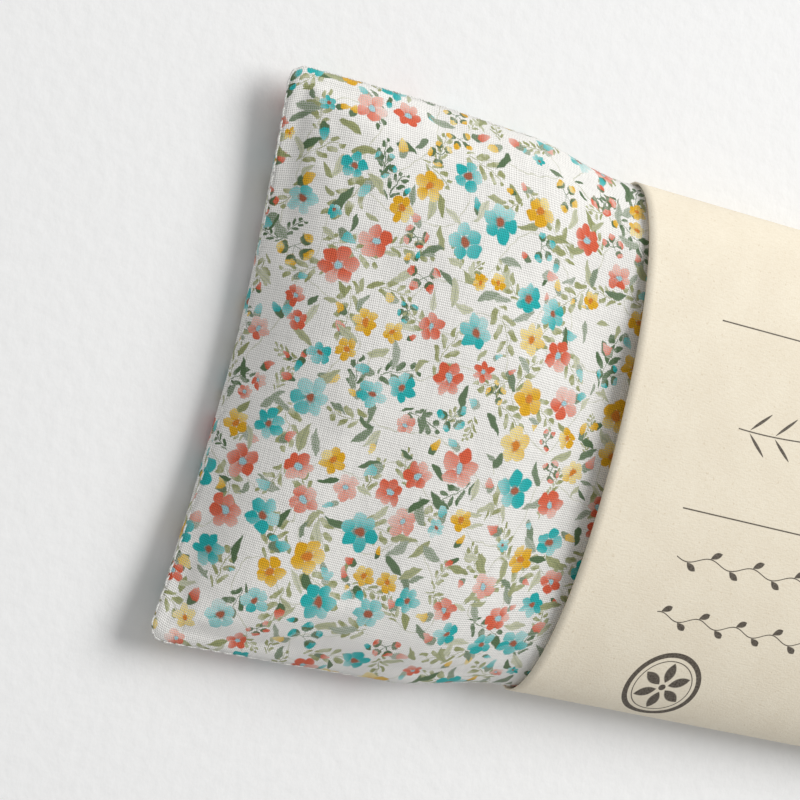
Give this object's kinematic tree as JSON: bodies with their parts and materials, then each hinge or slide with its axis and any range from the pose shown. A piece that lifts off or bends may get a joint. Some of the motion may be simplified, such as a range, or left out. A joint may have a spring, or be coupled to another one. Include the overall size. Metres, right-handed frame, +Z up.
{
  "type": "eye pillow",
  "caption": "Flat rectangular cotton eye pillow with a seed filling, held in a sliding paper belly band.",
  "frame": {"origin": "on the surface the pillow lies on, under the middle of the pillow", "axes": "+X along the pillow towards its hand-closed end, +Y across it, +Z up out of the printed front"},
  "size_m": [0.2408, 0.107, 0.0234],
  "materials": {
    "printed_cotton": "plain-woven quilting cotton, off-white with a small floral print, matte",
    "printed_cotton_back": "the same printed cotton on the underside, matte",
    "linseed_and_lavender": "glossy brown linseed mixed with dried lavender buds",
    "white_thread": "spun polyester sewing thread",
    "hand_sewing_thread": "spun polyester sewing thread",
    "cream_paper": "uncoated cream card with fine fibres and thin dark printed rules",
    "clear_adhesive": "thin double-sided tape"
  },
  "bodies": {
    "pillow": {"front_panel": "printed_cotton", "back_panel": "printed_cotton_back", "linseed_lavender_fill": "linseed_and_lavender", "seam_thread": "white_thread", "closing_thread": "hand_sewing_thread"},
    "band": {"paper_band": "cream_paper", "band_adhesive_strip": "clear_adhesive"}
  },
  "joints": [
    {"name": "band_slide", "type": "slide", "parent": "pillow", "child": "band", "axis": [1, 0, 0], "range_m": [-0.172, 0.172], "deforming": ["front_panel", "back_panel", "linseed_lavender_fill", "seam_thread", "closing_thread"]}
  ]
}
